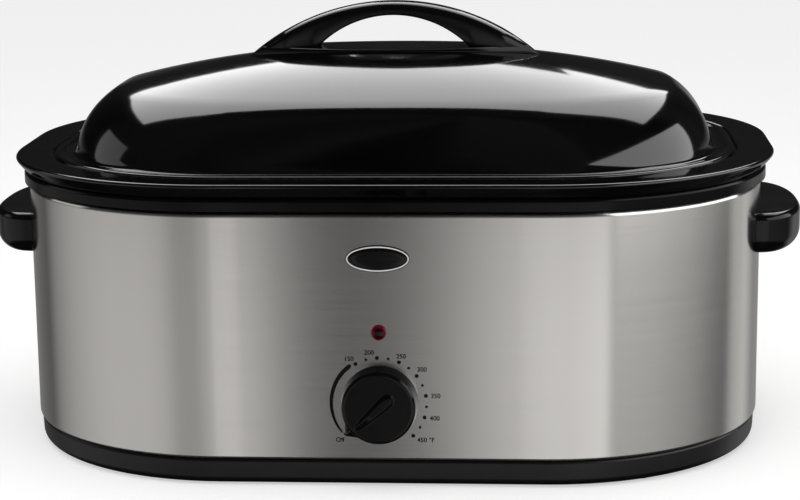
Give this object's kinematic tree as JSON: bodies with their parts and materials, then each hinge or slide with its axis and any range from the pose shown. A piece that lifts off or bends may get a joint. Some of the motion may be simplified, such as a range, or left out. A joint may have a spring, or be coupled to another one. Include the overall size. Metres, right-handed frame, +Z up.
{
  "type": "electric roaster oven",
  "caption": "Countertop roaster oven: oval brushed-steel body, lift-out enamelled pan and rack, domed lift-off lid with arched handle, dial and lamp.",
  "frame": {"origin": "the middle of the oval body on the worktop, under the feet", "axes": "+X along the length towards the right handle, -Y towards the dial on the front, +Z up"},
  "size_m": [0.622, 0.4202, 0.3278],
  "materials": {
    "brushed_wrap": "brushed along the length",
    "black_enamel": "glossy vitreous enamel",
    "collar_enamel": "satin enamel",
    "moulded_gloss": "glossy moulded phenolic",
    "moulded_base": "satin moulded plastic",
    "rubber": "moulded rubber",
    "plated_sheet": "galvanised sheet",
    "zinc_fastener": "zinc plated",
    "rack_chrome": "bright chrome plate",
    "element_sheath": "dark oxidised sheath",
    "brass": "plain",
    "ceramic": "glazed ceramic and nylon",
    "glass_wool": "glass wool",
    "red_lens": "clear red"
  },
  "bodies": {
    "oven": {"rubber_feet": "rubber", "base_ring": "moulded_base", "bottom_cover": "plated_sheet", "bottom_screws": "zinc_fastener", "steel_wrap": "brushed_wrap", "top_collar": "collar_enamel", "heating_well": "plated_sheet", "insulation_blanket": "glass_wool", "heating_element": "element_sheath", "element_clips": "plated_sheet", "element_terminals": "brass", "thermostat_body": "ceramic", "thermostat_bracket": "plated_sheet", "thermostat_screws": "zinc_fastener", "thermostat_bulb": "brass", "lamp_lens": "red_lens", "lamp_holder": "ceramic", "terminal_block": "ceramic", "cord_gland": "moulded_gloss", "gland_nut": "moulded_base", "badge_plate": "moulded_gloss", "left_side_handle": "moulded_gloss", "right_side_handle": "moulded_gloss", "side_handle_plates": "plated_sheet", "side_handle_screws": "zinc_fastener"},
    "knob": {"thermostat_shaft": "brass", "control_knob": "moulded_gloss", "knob_spring_clip": "zinc_fastener"},
    "pan": {"roasting_pan": "black_enamel"},
    "rack": {"rack_rim": "rack_chrome", "rack_wires": "rack_chrome", "rack_feet": "rack_chrome", "rack_handles": "rack_chrome"},
    "lid": {"lid_dome": "black_enamel", "lid_handle": "moulded_gloss", "lid_handle_screws": "zinc_fastener", "lid_handle_washers": "rubber"}
  },
  "joints": [
    {"name": "knob_turn", "type": "hinge", "parent": "oven", "child": "knob", "pos_m": [0, -0.193, 0.062], "axis": [0, 1, 0], "range_deg": [0, 268]},
    {"name": "pan_lift", "type": "slide", "parent": "oven", "child": "pan", "axis": [0, 0, 1], "range_m": [0, 0.22]},
    {"name": "lid_lift", "type": "slide", "parent": "pan", "child": "lid", "axis": [0, 0, 1], "range_m": [0, 0.25]},
    {"name": "rack_lift", "type": "slide", "parent": "pan", "child": "rack", "axis": [0, 0, 1], "range_m": [0, 0.13]}
  ]
}
